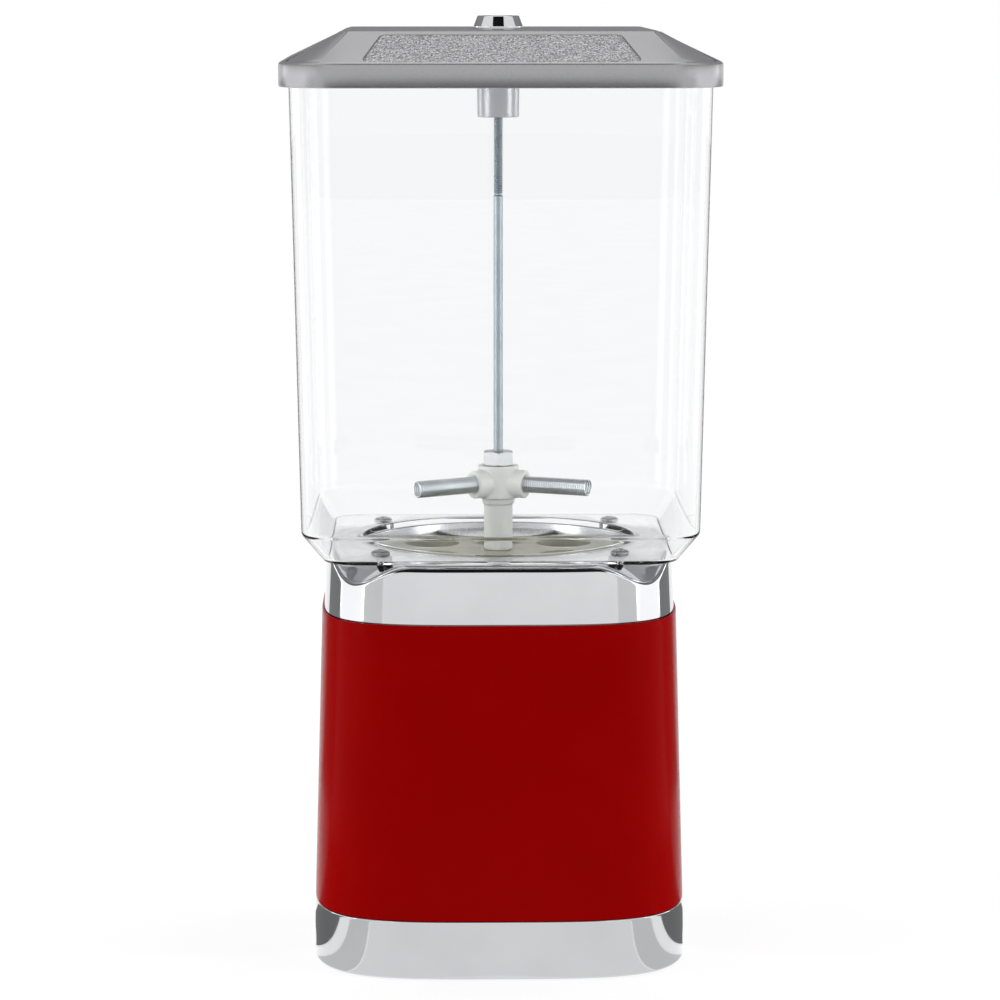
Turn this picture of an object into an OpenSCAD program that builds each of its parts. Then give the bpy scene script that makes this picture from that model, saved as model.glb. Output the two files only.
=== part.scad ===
// Square bulk gumball machine.
// The plain side faces -Y, the coin side faces +Y, and +Z is up.
// The origin is the centre of the footprint at the level of the feet.

/* [Cabinet] */
// Half width of the base trim at its foot
base_half = 125.4; // [125:0.1:126]
// Half width of the painted shell at its lower edge
shell_low_half = 124.7; // [124:0.1:124.9]
// Half width of the painted shell at its upper edge
shell_top_half = 119.2; // [119:0.1:119.4]
// Half width of the collar at its foot
collar_low_half = 117.8; // [117.5:0.1:118]
// Half width of the collar at its top
collar_top_half = 116; // [115:0.5:117]
// Thickness of the painted steel shell
shell_wall = 1.6; // [1:0.1:1.8]
// Roundness of the cabinet's plan, where 2 is a circle and larger is squarer
cabinet_power = 3.8; // [3.7:0.1:4]

/* [Globe] */
// Thickness of the clear globe's wall and floor
globe_wall = 3; // [2.4:0.1:3.2]
// Half width of the globe just above its chamfer
globe_low_half = 130.7; // [129:0.1:131]
// Half width of the globe at its open top
globe_top_half = 137; // [136:0.2:138]
// Radius of the globe's upright corners
globe_corner = 32; // [30:1:34]

/* [Lid] */
// Half width of the lid's rim
lid_half = 143.5; // [143:0.1:144]
// Radius of the lid's rim corners
lid_corner = 40; // [39:1:41]
// Depth of the grained recess in each sloping side
panel_depth = 0.8; // [0.4:0.1:1.2]

/* [Wheel] */
// Number of pockets in the candy wheel
pocket_count = 6; // [4:1:6]
// Diameter of one pocket
pocket_d = 38; // [24:1:40]

/* [Coin mechanism] */
// Diameter of the coin that the carrier takes
coin_d = 24.4; // [18:0.1:25]
// Half length of the handle's wing
wing_half = 23; // [18:1:25]

/* [Hidden] */
$fn = 64;
eps = 0.5;
plan_steps = 72;
arc_steps = 8;

// Levels of the stack, from the feet up
trim_z = 0.8;
ledge_z = 6;
plate_z = 9;
plate_top = 12;
shell_z = 39.5;
collar_z = 235.5;
deck_z = 275;
globe_floor_z = deck_z + globe_wall;
chamfer_z = 294;
globe_top_z = 593;
lid_z = 585;
rim_top_z = 601;
lid_top_z = 621;
lock_top_z = 629.5;

// Centre rod and its nuts
rod_r = 3.175;
rod_bore = 3.25;
rod_low = 2.6;
rod_top = 603;

// Wheel housing and candy wheel
bowl_r = 90;
bowl_outer = 93;
bowl_flange_r = 105.5;
bowl_flange_z = 273;
bowl_floor_z = 246.5;
bowl_floor_top = 249.5;
channel_r = 77;
channel_z = 242;
channel_floor_top = 245;
wheel_r = 89.2;
wheel_low = 250;
wheel_top = 268;
pocket_ring_r = 52;
ring_hole_r = 92;

// Gear train: the wheel's face teeth, an idler and the handle's pinion
face_teeth = 72;
pinion_teeth = 12;
face_mid_r = 83;
face_inner_r = 79;
face_outer_r = 88.5;
pitch_r = face_mid_r * pinion_teeth / face_teeth;
tooth_tip_r = pitch_r + 1.9;
tooth_root_r = pitch_r - 2.4;
face_root_z = 250.5;
face_tip_z = 246.2;
gear_ring_z = 254;
face_pitch_z = 248.3;
idler_z = face_pitch_z - pitch_r;
shaft_z = idler_z - 2 * pitch_r;
gear_y0 = 79;
gear_y1 = 88;

// Agitator
hub_arm_z = 314.7;
hub_top = 326.8;
hub_bore = rod_bore;
socket_r = 9.5;
socket_reach = 20.5;
spring_r = 5.7;
spring_bore = 4;
spring_root = 13;
spring_reach = 67.6;
first_arm = 94.2;
spring_count = 3;
hub_nut_af = 19.4;
hub_nut_h = 9.5;

// Coin side
face_half = 41;
face_low = 58;
face_high = 235.2;
face_front = 127;
shell_gap = 0.2;
hole_half = 32;
hole_low = 70;
hole_high = 229;
cut_y0 = 100;
cut_y1 = 135;
mech_r = 27;
mech_boss_r = 24.2;
cavity_r = 21.5;
carrier_r = 21.2;
shaft_r = 4;
shaft_bore = 4.05;
sleeve_y = 94.5;
bracket_y = 91;
boss_y = 123;
cavity_y = 128;
bezel_y = 131.1;
bezel_plate = 1.6;
handle_y = 133.6;
handle_end = 143.2;
idler_pin_r = 3;

// Chute and its door
chute_half = 23;
chute_wall = 1.5;
chute_front = 121.5;
chute_top = channel_z - 0.2;
mouth_low = 74;
mouth_high = 112;
door_y = 124.5;
door_z = 110;
door_half = 23.2;
door_pin_r = 1.5;
door_bore = 1.55;

// Fasteners
screw_spread = 79.1;
screw_shank = 2;
stand_spread = 60;
stand_hole_r = 3.3;
face_screw_x = 36.5;
bezel_screw_x = 24.2;

// ---- shape helpers ----

// Outline of a square with bowed sides, |x|^n + |y|^n = half^n
function bowed(half) = [for (i = [0:plan_steps - 1])
    let (t = 360 * i / plan_steps, c = cos(t), s = sin(t), p = 2 / cabinet_power)
    [half * sign(c) * pow(abs(c), p), half * sign(s) * pow(abs(s), p)]];

// Outline of a square with round corners
function rounded(half, r) = [for (q = [0:3], i = [0:arc_steps])
    let (a = 90 * (q + i / arc_steps), c = half - r, m = 90 * q + 45)
    [c * sign(cos(m)) + r * cos(a), c * sign(sin(m)) + r * sin(a)]];

// Solid through a stack of outlines, each given as [z, outline]
module loft(sections) {
    n = len(sections[0][1]);
    points = [for (s = sections) for (p = s[1]) [p[0], p[1], s[0]]];
    sides = [for (k = [0:len(sections) - 2], i = [0:n - 1])
        let (j = (i + 1) % n)
        [k * n + j, k * n + i, (k + 1) * n + i, (k + 1) * n + j]];
    low = [for (i = [0:n - 1]) i];
    high = [for (i = [0:n - 1]) len(sections) * n - 1 - i];
    polyhedron(points, concat([low], sides, [high]));
}

// Tapered tube with bowed sides
module bowed_tube(z0, half0, z1, half1, wall) {
    slope = (half1 - half0) / (z1 - z0);
    difference() {
        loft([[z0, bowed(half0)], [z1, bowed(half1)]]);
        loft([[z0 - eps, bowed(half0 - wall - slope * eps)],
            [z1 + eps, bowed(half1 - wall + slope * eps)]]);
    }
}

// Straight block with round upright corners, made of boxes and cylinders
module round_block(half, r, z0, z1) {
    translate([-half, r - half, z0]) cube([2 * half, 2 * (half - r), z1 - z0]);
    translate([r - half, -half, z0]) cube([2 * (half - r), 2 * half, z1 - z0]);
    for (x = [-1, 1], y = [-1, 1])
        translate([x * (half - r), y * (half - r), z0]) cylinder(r = r, h = z1 - z0);
}

// Cylinder along Z between two heights
module post(r, z0, z1) {
    translate([0, 0, z0]) cylinder(r = r, h = z1 - z0);
}

// Cylinder along +Y between two depths
module rod_y(r, y0, y1) {
    translate([0, y0, 0]) rotate([-90, 0, 0]) cylinder(r = r, h = y1 - y0);
}

// Box between two corners
module block(low, high) {
    translate(low) cube(high - low);
}

// Side profile in Y and Z, drawn out to both sides of the middle plane
module side_profile(points, half) {
    rotate([90, 0, 90]) translate([0, 0, -half]) linear_extrude(2 * half) polygon(points);
}

// Copies at the four corners of a square
module at_corners(x, y) {
    for (i = [-1, 1], j = [-1, 1]) translate([i * x, j * y, 0]) children();
}

// Places the faceplate's screws
module at_face_screws() {
    for (x = [-1, 1], z = [face_low + 6.5, face_high - 7.2])
        translate([x * face_screw_x, 0, z]) children();
}

// Half width of the painted shell at a height
function shell_half(z) = shell_low_half
    + (shell_top_half - shell_low_half) * (z - shell_z) / (collar_z - shell_z);

// ---- base ----

module base_plate() {
    color("silver") difference() {
        round_block(110, 48, plate_z, plate_top);
        at_corners(stand_spread, stand_spread) post(stand_hole_r, plate_z - eps, plate_top + eps);
        post(rod_bore, plate_z - eps, plate_top + eps);
    }
}

module base_trim() {
    wall = 3;
    lip_gap = 0.3;
    lip_wall = 2.5;
    lip_low = shell_z - 6.5;
    lip_high = shell_z + 6.5;
    lip_half = shell_half(shell_z) - shell_wall - lip_gap;
    color("gainsboro") {
        bowed_tube(trim_z, base_half, shell_z, shell_low_half + 0.1, wall);
        difference() {
            loft([[ledge_z, bowed(base_half - wall + 1)], [plate_z, bowed(base_half - wall + 1)]]);
            round_block(92, 40, ledge_z - eps, plate_z + eps);
        }
        bowed_tube(lip_low, lip_half, lip_high, lip_half - 0.2, lip_wall);
    }
}

module rubber_feet() {
    foot_r = 10;
    foot_spread = 84;
    color("dimgray") at_corners(foot_spread, foot_spread) difference() {
        union() {
            cylinder(r1 = foot_r - 1, r2 = foot_r, h = 1.5);
            post(foot_r, 1.5, ledge_z);
        }
        post(foot_r / 2, -eps, 1);
    }
}

// ---- body ----

module body_shell() {
    color("firebrick") difference() {
        bowed_tube(shell_z, shell_low_half, collar_z, shell_top_half, shell_wall);
        block([-hole_half, cut_y0, hole_low], [hole_half, cut_y1, hole_high]);
        at_face_screws() rod_y(1.6, cut_y0, cut_y1);
    }
}

// Solid under the collar's coned shoulder, lowered by a drop
module shoulder(drop) {
    flat_r = 109;
    far_r = 165;
    fall = 0.55;
    rotate_extrude() polygon([[0, 200], [far_r, 200],
        [far_r, deck_z - drop - fall * (far_r - flat_r)], [flat_r, deck_z - drop], [0, deck_z - drop]]);
}

module top_collar() {
    wall = 2.5;
    deck = 3.2;
    lip_low = collar_z - 11;
    lip_high = collar_z + 2.5;
    lip_half = shell_top_half - shell_wall - 0.4;
    color("gainsboro") {
        difference() {
            intersection() {
                loft([[collar_z, bowed(collar_low_half)], [deck_z + 1, bowed(collar_top_half)]]);
                shoulder(0);
            }
            intersection() {
                loft([[collar_z - 1, bowed(collar_low_half - wall)],
                    [deck_z, bowed(collar_top_half - wall)]]);
                shoulder(deck);
            }
            post(bowl_outer + 0.5, collar_z, deck_z + eps);
            post(bowl_flange_r + 0.3, bowl_flange_z, deck_z + eps);
            at_corners(screw_spread, screw_spread) post(screw_shank, collar_z, deck_z + eps);
        }
        bowed_tube(lip_low, lip_half, lip_high, lip_half, 2);
    }
}

// ---- globe and wheel housing ----

module globe() {
    inner_corner = globe_corner - globe_wall;
    low = 116.5;
    foot_corner = 25;
    slope_wall = globe_wall * 0.96;
    color("whitesmoke", 0.35) {
        difference() {
            loft([[deck_z, rounded(low - 1, foot_corner - 1)], [deck_z + 2, rounded(low, foot_corner)],
                [chamfer_z, rounded(globe_low_half, globe_corner - 1)],
                [globe_top_z, rounded(globe_top_half, globe_corner)]]);
            loft([[globe_floor_z, rounded(low - slope_wall, foot_corner - globe_wall)],
                [chamfer_z + 1.2, rounded(globe_low_half - slope_wall, inner_corner - 1)],
                [globe_top_z + 1, rounded(globe_top_half - globe_wall, inner_corner)]]);
            post(ring_hole_r, deck_z - eps, globe_floor_z + eps);
            at_corners(screw_spread, screw_spread) post(screw_shank + 0.1, deck_z - eps, chamfer_z);
        }
        difference() {
            post(ring_hole_r + 3, globe_floor_z - eps, globe_floor_z + 1);
            post(ring_hole_r, deck_z, chamfer_z);
        }
    }
}

module wheel_housing() {
    outlet_r = 21;
    slot_half = 14.8;
    hub_low = 236;
    hub_r = 9;
    wall = 3;
    color("lightgray") difference() {
        rotate_extrude() polygon([[rod_bore, hub_low], [hub_r, hub_low], [hub_r, bowl_floor_z],
            [channel_r - wall, bowl_floor_z], [channel_r - wall, channel_z],
            [bowl_outer, channel_z], [bowl_outer, bowl_flange_z],
            [bowl_flange_r, bowl_flange_z], [bowl_flange_r, deck_z], [bowl_r, deck_z],
            [bowl_r, channel_floor_top], [channel_r, channel_floor_top], [channel_r, bowl_floor_top],
            [rod_bore, bowl_floor_top]]);
        translate([0, pocket_ring_r, 0]) post(outlet_r, channel_z - eps, bowl_floor_top + eps);
        block([-slot_half, gear_y0 - 1, channel_z - eps],
            [slot_half, gear_y1 + 0.7, channel_floor_top + eps]);
    }
}

module pan_screw(shank_len) {
    head_r = 6.25;
    rim_h = 0.9;
    crown_r = 4.6;
    crown_h = 2;
    top_r = 2.6;
    head_h = 2.6;
    cross_half = 3;
    cross_w = 0.6;
    cross_z = 1.4;
    color("darkgray") difference() {
        union() {
            rotate_extrude() polygon([[0, 0], [head_r, 0], [head_r, rim_h], [crown_r, crown_h],
                [top_r, head_h], [0, head_h]]);
            post(screw_shank, -shank_len, eps);
        }
        block([-cross_half, -cross_w, cross_z], [cross_half, cross_w, head_h + eps]);
        block([-cross_w, -cross_half, cross_z], [cross_w, cross_half, head_h + eps]);
    }
}

module housing_screws() {
    at_corners(screw_spread, screw_spread) translate([0, 0, globe_floor_z]) pan_screw(12);
}

module wedge(half_angle) {
    reach = 120;
    linear_extrude(400) polygon([[0, 0], [reach * sin(half_angle), reach * cos(half_angle)],
        [-reach * sin(half_angle), reach * cos(half_angle)]]);
}

module pocket_shield() {
    cover_angle = 27;
    tab_angle = 4;
    sheet = 1.5;
    inner_r = 22;
    wall_r = bowl_r - 0.3;
    hook_r = 99;
    plate_low = wheel_top + 1.5;
    rest_z = globe_floor_z + 1;
    color("silver") {
        intersection() {
            rotate_extrude() polygon([[inner_r, plate_low], [wall_r, plate_low],
                [wall_r, plate_low + sheet], [inner_r, plate_low + sheet]]);
            wedge(cover_angle);
        }
        intersection() {
            rotate_extrude() polygon([[wall_r - sheet, plate_low], [wall_r, plate_low], [wall_r, rest_z],
                [hook_r, rest_z], [hook_r, rest_z + sheet], [wall_r - sheet, rest_z + sheet]]);
            wedge(tab_angle);
        }
    }
}

// ---- centre rod ----

module centre_rod() {
    color("lightsteelblue") {
        post(rod_r, rod_low, rod_top - 1);
        translate([0, 0, rod_top - 1]) cylinder(r1 = rod_r, r2 = rod_r - 0.8, h = 1);
    }
}

// Hexagonal nut with a round bore
module hex_nut(af, bore, z0, z1) {
    difference() {
        translate([0, 0, z0]) cylinder(d = af / cos(30), h = z1 - z0, $fn = 6);
        post(bore, z0 - eps, z1 + eps);
    }
}

module rod_nut() {
    color("silver") hex_nut(11.1, rod_r, 3, plate_z - 1);
}

module rod_washer() {
    color("silver") difference() {
        post(9, plate_z - 1, plate_z);
        post(rod_bore, plate_z - 1 - eps, plate_z + eps);
    }
}

module hub_nut() {
    color("lightgray") rotate(30) hex_nut(hub_nut_af, rod_r, hub_top + 0.2, hub_top + 0.2 + hub_nut_h);
}

// ---- coin tray and chute ----

module coin_tray() {
    half = 95;
    corner = 25;
    wall = 1.5;
    tray_top = 50;
    sleeve_r = 8;
    color("gray") {
        difference() {
            round_block(half, corner, plate_top, tray_top);
            round_block(half - wall, corner - wall, plate_top + wall, tray_top + eps);
            post(sleeve_r - wall, plate_top - eps, tray_top);
        }
        difference() {
            post(sleeve_r, plate_top, tray_top);
            post(sleeve_r - wall, plate_top - eps, tray_top + eps);
        }
    }
}

// Side profile of the chute's passage, grown outwards by a margin
function chute_profile(m) = [[31 - m, chute_top + (m > 0 ? 0 : eps)],
    [71 + m, chute_top + (m > 0 ? 0 : eps)], [71 + m, 150 + m * 0.5],
    [chute_front + (m > 0 ? 0 : eps), mouth_high + m * 1.2],
    [chute_front + (m > 0 ? 0 : eps), mouth_low - m * 1.2],
    [31 - m, 140 - m * 0.5]];

module chute() {
    color("lightgray") difference() {
        side_profile(chute_profile(chute_wall), chute_half + chute_wall);
        side_profile(chute_profile(0), chute_half);
    }
}

// ---- coin side ----

module faceplate() {
    corner = 9;
    low_y = shell_half(face_low) + shell_gap;
    high_y = shell_half(face_high) + shell_gap;
    mid_z = (face_low + face_high) / 2;
    half_h = (face_high - face_low) / 2;
    mouth_half = chute_half + 1;
    color("gainsboro") difference() {
        intersection() {
            side_profile([[low_y, face_low], [face_front, face_low], [face_front, face_high],
                [high_y, face_high]], face_half);
            union() {
                block([-face_half, cut_y0, face_low + corner], [face_half, cut_y1, face_high - corner]);
                block([corner - face_half, cut_y0, face_low], [face_half - corner, cut_y1, face_high]);
                for (x = [-1, 1], z = [-1, 1])
                    translate([x * (face_half - corner), 0, mid_z + z * (half_h - corner)])
                        rod_y(corner, cut_y0, cut_y1);
            }
        }
        translate([0, 0, shaft_z]) rod_y(mech_boss_r + 0.1, cut_y0, cut_y1);
        block([-mouth_half, cut_y0, mouth_low - 1], [mouth_half, cut_y1, mouth_high + 1.5]);
        translate([-mouth_half - 4, door_y, door_z]) rotate([0, 90, 0])
            cylinder(r = door_pin_r, h = 2 * mouth_half + 8);
        at_face_screws() rod_y(1.6, cut_y0, cut_y1);
    }
}

// Small round-headed screw pointing along -Y, with its seat at y = 0
module face_screw(shank_len, shank_r, head_r, head_h) {
    difference() {
        union() {
            rotate([-90, 0, 0]) rotate_extrude()
                polygon([[0, 0], [head_r, 0], [head_r, head_h * 0.4], [head_r * 0.6, head_h], [0, head_h]]);
            rod_y(shank_r, -shank_len, eps);
        }
        block([-head_r * 0.6, head_h * 0.6, -0.4], [head_r * 0.6, head_h + eps, 0.4]);
        block([-0.4, head_h * 0.6, -head_r * 0.6], [0.4, head_h + eps, head_r * 0.6]);
    }
}

module faceplate_screws() {
    color("silver") at_face_screws() translate([0, face_front, 0]) face_screw(8.5, 1.5, 3, 2);
}

module coin_housing() {
    slit_half = coin_d / 2 + 0.4;
    color("gainsboro") translate([0, 0, shaft_z]) difference() {
        union() {
            rod_y(11, sleeve_y, boss_y);
            rod_y(mech_boss_r, boss_y, face_front);
            rod_y(mech_r, face_front, bezel_y - 0.1);
        }
        rod_y(cavity_r, cavity_y, bezel_y + eps);
        rod_y(shaft_bore, sleeve_y - eps, bezel_y);
        block([-slit_half, cavity_y + 0.4, 0], [slit_half, bezel_y - 0.9, mech_r + eps]);
        block([-slit_half, boss_y - eps, -mech_boss_r - eps], [slit_half, cavity_y + eps, -12.5]);
        for (x = [-1, 1]) translate([8 * x, 0, 0]) rod_y(1.5, sleeve_y - eps, sleeve_y + 8);
        for (x = [-1, 1]) translate([bezel_screw_x * x, 0, 0]) rod_y(1, face_front + 0.5, bezel_y);
    }
}

module coin_bezel() {
    rim_r = 17;
    color("gainsboro") translate([0, 0, shaft_z]) difference() {
        union() {
            rod_y(mech_r, bezel_y, bezel_y + bezel_plate);
            rod_y(rim_r, bezel_y + bezel_plate, handle_y - 0.3);
        }
        rod_y(shaft_bore, bezel_y - eps, handle_y);
        for (x = [-1, 1]) translate([bezel_screw_x * x, 0, 0]) rod_y(1.1, bezel_y - eps, handle_y);
    }
}

module bezel_screws() {
    color("silver") for (x = [-1, 1])
        translate([bezel_screw_x * x, bezel_y + bezel_plate, shaft_z]) face_screw(5, 1, 1.9, 1.2);
}

module gear_bracket() {
    half = 12.5;
    low = shaft_z - 12;
    high = idler_z + 6;
    color("silver") difference() {
        block([-half, bracket_y, low], [half, sleeve_y, high]);
        translate([0, 0, shaft_z]) rod_y(shaft_bore, bracket_y - eps, sleeve_y + eps);
        translate([0, 0, idler_z]) rod_y(idler_pin_r, bracket_y - eps, sleeve_y + eps);
        for (x = [-1, 1]) translate([8 * x, 0, shaft_z]) rod_y(1.5, bracket_y - eps, sleeve_y + eps);
    }
}

module bracket_screws() {
    color("darkgray") for (x = [-1, 1])
        translate([8 * x, bracket_y, shaft_z]) mirror([0, 1, 0]) face_screw(10, 1.5, 2.4, 1.6);
}

module idler_pin() {
    color("silver") translate([0, 0, idler_z]) {
        rod_y(idler_pin_r, gear_y0 - 2.4, sleeve_y);
        rod_y(5, gear_y0 - 2.4, gear_y0 - 0.4);
    }
}

module door_pin() {
    half = chute_half + 4.5;
    color("silver") translate([-half, door_y, door_z]) rotate([0, 90, 0])
        cylinder(r = door_pin_r, h = 2 * half);
}

module chute_door() {
    knuckle_r = 2.4;
    leaf = 1.2;
    low = mouth_low + 1;
    color("gainsboro") difference() {
        union() {
            block([-door_half, door_y - leaf, low], [door_half, door_y + leaf, door_z]);
            block([-door_half, door_y - leaf, low], [door_half, door_y + 5, low + 2.4]);
            translate([-door_half, door_y, door_z]) rotate([0, 90, 0])
                cylinder(r = knuckle_r, h = 2 * door_half);
        }
        translate([-door_half - eps, door_y, door_z]) rotate([0, 90, 0])
            cylinder(r = door_bore, h = 2 * door_half + 2 * eps);
    }
}

// ---- lid and lock ----

// Grained recess of one sloping side, as a slab lying in the slope
module panel_cut() {
    rim_half = lid_half - 0.8;
    flat_half = 101;
    rise = lid_top_z - rim_top_z;
    run = rim_half - flat_half;
    slope_len = norm([rise, run]);
    tilt = atan2(rise, run);
    top_half = 77;
    low_half = 89.5;
    translate([0, -rim_half, rim_top_z]) rotate([tilt, 0, 0]) translate([0, 0, -panel_depth])
        linear_extrude(4) polygon([[-low_half, 2], [low_half, 2],
            [top_half, slope_len - 5], [-top_half, slope_len - 5]]);
}

module lid() {
    wall = 3;
    boss_low = 562;
    color("silver") {
        difference() {
            union() {
                loft([[lid_z, rounded(lid_half, lid_corner)],
                    [rim_top_z - 2, rounded(lid_half, lid_corner)],
                    [rim_top_z, rounded(lid_half - 0.8, lid_corner)],
                    [lid_top_z, rounded(101, 10)]]);
                post(20.5, lid_top_z - eps, lid_top_z + 0.6);
            }
            loft([[lid_z - 1, rounded(lid_half - wall, lid_corner - 2.5)],
                [globe_top_z, rounded(lid_half - wall, lid_corner - 2.5)]]);
            loft([[globe_top_z - 1, rounded(globe_top_half - globe_wall, 30)],
                [rim_top_z - 1.5, rounded(globe_top_half - globe_wall, 30)],
                [lid_top_z - wall, rounded(98, 9)]]);
            for (side = [0:3]) rotate(90 * side) panel_cut();
            post(9.6, lid_top_z - wall - eps, lid_top_z + 1);
        }
        difference() {
            translate([0, 0, boss_low]) cylinder(r1 = 14, r2 = 14.7, h = lid_top_z - wall + eps - boss_low);
            post(6.7, boss_low - eps, 605);
            post(9.6, 604, lid_top_z);
        }
    }
}

module lock_bezel() {
    color("lightgray") difference() {
        union() {
            translate([0, 0, lid_top_z + 0.6]) cylinder(r1 = 16.5, r2 = 14.4, h = 6.9);
            translate([0, 0, lid_top_z + 7.5]) cylinder(r1 = 14.4, r2 = 13.4, h = 1);
        }
        post(9.6, lid_top_z, lock_top_z + 1);
    }
}

module lock_plug() {
    color("darkgray") difference() {
        union() {
            post(9.5, 604.2, lock_top_z - 0.5);
            translate([0, 0, lock_top_z - 0.5]) cylinder(r1 = 9.5, r2 = 9, h = 1);
        }
        block([-1.2, -4, lock_top_z - 12], [1.2, 4, lock_top_z + 1]);
        post(2.6, lock_top_z - 12, lock_top_z + 1);
    }
}

module lock_nut() {
    color("goldenrod") difference() {
        post(6.6, 575, 604.2);
        post(rod_bore, 575 - eps, 603.5);
    }
}

// ---- candy wheel and agitator ----

module candy_wheel() {
    color("lemonchiffon") difference() {
        rotate_extrude() polygon([[rod_bore, wheel_low - 0.4], [12, wheel_low - 0.4], [12, wheel_low],
            [channel_r - 1, wheel_low], [channel_r - 1, gear_ring_z], [wheel_r, gear_ring_z],
            [wheel_r, wheel_top], [rod_bore, wheel_top]]);
        for (i = [0:pocket_count - 1]) rotate(90 + 360 * i / pocket_count)
            translate([pocket_ring_r, 0, 0]) post(pocket_d / 2, wheel_low - 1, wheel_top + 1);
    }
}

module face_gear() {
    tooth_w = 2.2;
    color("khaki") {
        difference() {
            post(wheel_r, face_root_z, gear_ring_z);
            post(channel_r, face_root_z - eps, gear_ring_z + eps);
        }
        for (i = [0:face_teeth - 1]) rotate(360 * i / face_teeth)
            block([face_inner_r, -tooth_w / 2, face_tip_z], [face_outer_r, tooth_w / 2, face_root_z + eps]);
    }
}

// Runs along +X after turning to each arm's direction
module at_arm(i) {
    rotate(first_arm + 120 * i) translate([0, 0, hub_arm_z]) rotate([0, 90, 0]) children();
}

module agitator_hub() {
    stem_r = 9.75;
    ring_r = 11;
    ring_low = 300.8;
    flange_r = 13.8;
    flange_low = 304.7;
    color("white") difference() {
        union() {
            post(stem_r, wheel_top, hub_top);
            post(ring_r, ring_low, flange_low);
            post(flange_r, flange_low, hub_top);
            for (i = [0:spring_count - 1]) at_arm(i) cylinder(r = socket_r, h = socket_reach);
        }
        post(hub_bore, wheel_top - eps, hub_top + eps);
        for (i = [0:spring_count - 1]) at_arm(i) translate([0, 0, spring_root])
            cylinder(r = spring_r, h = socket_reach);
    }
}

module agitator_spring(i) {
    color("slategray") at_arm(i) difference() {
        translate([0, 0, spring_root]) cylinder(r = spring_r, h = spring_reach - spring_root);
        translate([0, 0, spring_root - eps]) cylinder(r = spring_bore, h = spring_reach);
    }
}

// ---- handle and gears ----

// Spur gear along Y; a gap or a tooth points up
module spur_gear(tooth_up) {
    tip = 0.9;
    root = 1.6;
    rod_y(tooth_root_r, gear_y0, gear_y1);
    for (i = [0:pinion_teeth - 1])
        rotate([0, 360 * (i + (tooth_up ? 0 : 0.5)) / pinion_teeth, 0])
            translate([0, gear_y1, 0]) rotate([90, 0, 0]) linear_extrude(gear_y1 - gear_y0)
                polygon([[-root, tooth_root_r - 1], [root, tooth_root_r - 1],
                    [tip, tooth_tip_r], [-tip, tooth_tip_r]]);
}

module drive_pinion() {
    color("khaki") translate([0, 0, shaft_z]) difference() {
        union() {
            spur_gear(true);
            rod_y(5.3, gear_y1 - eps, bracket_y - 0.1);
        }
        rod_y(shaft_r, gear_y0 - eps, bracket_y + eps);
    }
}

module idler_gear() {
    color("khaki") translate([0, 0, idler_z]) difference() {
        union() {
            spur_gear(false);
            rod_y(7, gear_y1 - eps, bracket_y - 0.1);
        }
        rod_y(idler_pin_r + 0.05, gear_y0 - eps, bracket_y + eps);
    }
}

module handle_shaft() {
    color("silver") translate([0, 0, shaft_z]) rod_y(shaft_r, gear_y0 - 3, handle_y + 6);
}

module shaft_clip() {
    color("darkgray") translate([0, 0, shaft_z]) difference() {
        rod_y(6.5, gear_y0 - 1.5, gear_y0 - 0.4);
        rod_y(shaft_r, gear_y0 - 3, gear_y0);
        block([-2, gear_y0 - 3, 0], [2, gear_y0, 8]);
    }
}

module coin_carrier() {
    color("silver") translate([0, 0, shaft_z]) difference() {
        rod_y(carrier_r, cavity_y + 0.2, bezel_y - 0.5);
        rod_y(shaft_r, cavity_y, bezel_y);
        translate([0, 0, carrier_r - 1]) rod_y(coin_d / 2, cavity_y, bezel_y);
    }
}

module coin_handle() {
    hub_r = 12;
    wing_r = 6;
    wing_y = handle_y + 3;
    color("gainsboro") translate([0, 0, shaft_z]) difference() {
        union() {
            rod_y(hub_r, handle_y, wing_y + 2);
            block([-wing_half + wing_r, wing_y, -wing_r], [wing_half - wing_r, handle_end, wing_r]);
            for (x = [-1, 1]) translate([x * (wing_half - wing_r), 0, 0]) rod_y(wing_r, wing_y, handle_end);
        }
        rod_y(shaft_r, handle_y - eps, handle_y + 6);
    }
}

base_plate();
base_trim();
rubber_feet();
body_shell();
top_collar();
wheel_housing();
globe();
housing_screws();
pocket_shield();
centre_rod();
rod_nut();
rod_washer();
hub_nut();
coin_tray();
chute();
faceplate();
faceplate_screws();
coin_housing();
coin_bezel();
bezel_screws();
gear_bracket();
bracket_screws();
idler_pin();
door_pin();
lid();
lock_bezel();
lock_plug();
lock_nut();
candy_wheel();
face_gear();
agitator_hub();
agitator_spring(0);  // agitator_spring_1
agitator_spring(1);  // agitator_spring_2
agitator_spring(2);  // agitator_spring_3
coin_handle();
handle_shaft();
coin_carrier();
drive_pinion();
shaft_clip();
idler_gear();
chute_door();
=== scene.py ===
import math

import bmesh
import bpy
from mathutils import Matrix, Vector, noise


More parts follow.
